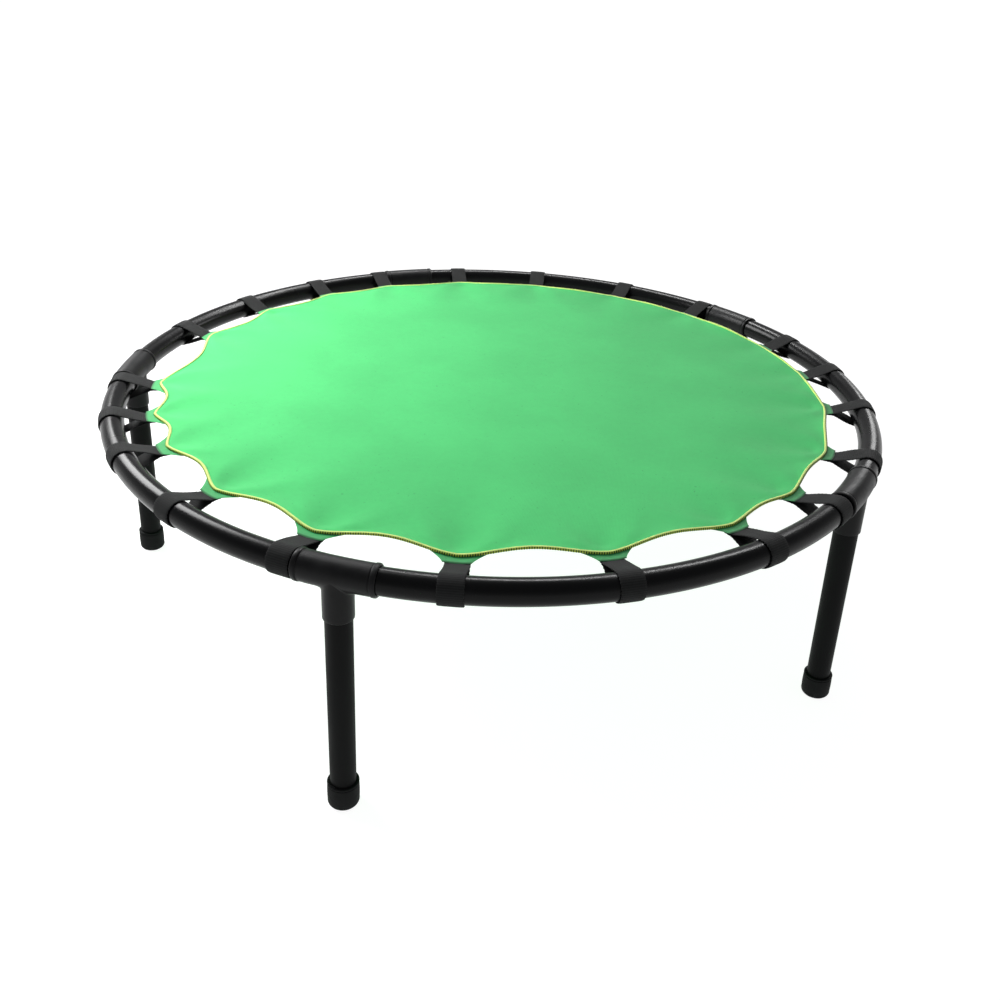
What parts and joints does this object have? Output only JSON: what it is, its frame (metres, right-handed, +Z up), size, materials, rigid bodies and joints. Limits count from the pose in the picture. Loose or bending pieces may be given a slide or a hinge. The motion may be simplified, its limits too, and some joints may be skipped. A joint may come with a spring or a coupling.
{
  "type": "mini trampoline",
  "caption": "Round knock-down mini trampoline: stretch mat with an overlocked edge, hung by webbing loops in a tube rim on splayed pull-out legs with foot caps.",
  "frame": {"origin": "floor point under the middle of the rim", "axes": "+Z up along the rim axis; -Y towards the side seen nearest"},
  "size_m": [0.815, 0.815, 0.2396],
  "materials": {
    "rim_tube": "gloss black",
    "tee_fitting": "semi-gloss moulded black",
    "leg_tube": "satin black",
    "foot_cap": "matt black",
    "webbing": "woven black",
    "mat_cloth": "smooth stretch knit, green",
    "edge_thread": "overlock thread, yellow-green",
    "tab_cloth": "stretch knit, darker green"
  },
  "bodies": {
    "frame": {"rim_tube_1": "rim_tube", "rim_tube_2": "rim_tube", "rim_tube_3": "rim_tube", "rim_tube_4": "rim_tube", "rim_tube_5": "rim_tube", "tee_1": "tee_fitting", "tee_2": "tee_fitting", "tee_3": "tee_fitting", "tee_4": "tee_fitting", "tee_5": "tee_fitting", "strap_01": "webbing", "strap_02": "webbing", "strap_03": "webbing", "strap_04": "webbing", "strap_05": "webbing", "strap_06": "webbing", "strap_07": "webbing", "strap_08": "webbing", "strap_09": "webbing", "strap_10": "webbing", "strap_11": "webbing", "strap_12": "webbing", "strap_13": "webbing", "strap_14": "webbing", "strap_15": "webbing", "strap_16": "webbing", "strap_17": "webbing", "strap_18": "webbing", "strap_19": "webbing", "strap_20": "webbing", "strap_21": "webbing"},
    "leg_1": {"leg_tube_1": "leg_tube", "foot_cap_1": "foot_cap"},
    "leg_2": {"leg_tube_2": "leg_tube", "foot_cap_2": "foot_cap"},
    "leg_3": {"leg_tube_3": "leg_tube", "foot_cap_3": "foot_cap"},
    "leg_4": {"leg_tube_4": "leg_tube", "foot_cap_4": "foot_cap"},
    "leg_5": {"leg_tube_5": "leg_tube", "foot_cap_5": "foot_cap"},
    "mat": {"mat": "mat_cloth", "edge_trim": "edge_thread", "strap_tabs": "tab_cloth"}
  },
  "joints": [
    {"name": "leg_1_pull", "type": "slide", "parent": "frame", "child": "leg_1", "axis": [-0.0096, -0.0603, -0.9981], "range_m": [0, 0.03]},
    {"name": "leg_2_pull", "type": "slide", "parent": "frame", "child": "leg_2", "axis": [0.0544, -0.0277, -0.9981], "range_m": [0, 0.03]},
    {"name": "leg_3_pull", "type": "slide", "parent": "frame", "child": "leg_3", "axis": [0.0432, 0.0432, -0.9981], "range_m": [0, 0.03]},
    {"name": "leg_4_pull", "type": "slide", "parent": "frame", "child": "leg_4", "axis": [-0.0277, 0.0544, -0.9981], "range_m": [0, 0.03]},
    {"name": "leg_5_pull", "type": "slide", "parent": "frame", "child": "leg_5", "axis": [-0.0603, -0.0096, -0.9981], "range_m": [0, 0.03]},
    {"name": "mat_bounce", "type": "slide", "parent": "frame", "child": "mat", "axis": [0, 0, 1], "range_m": [-0.03, 0.01], "stiffness_N_per_m": 2500, "deforming": ["strap_01", "strap_02", "strap_03", "strap_04", "strap_05", "strap_06", "strap_07", "strap_08", "strap_09", "strap_10", "strap_11", "strap_12", "strap_13", "strap_14", "strap_15", "strap_16", "strap_17", "strap_18", "strap_19", "strap_20", "strap_21"]}
  ]
}
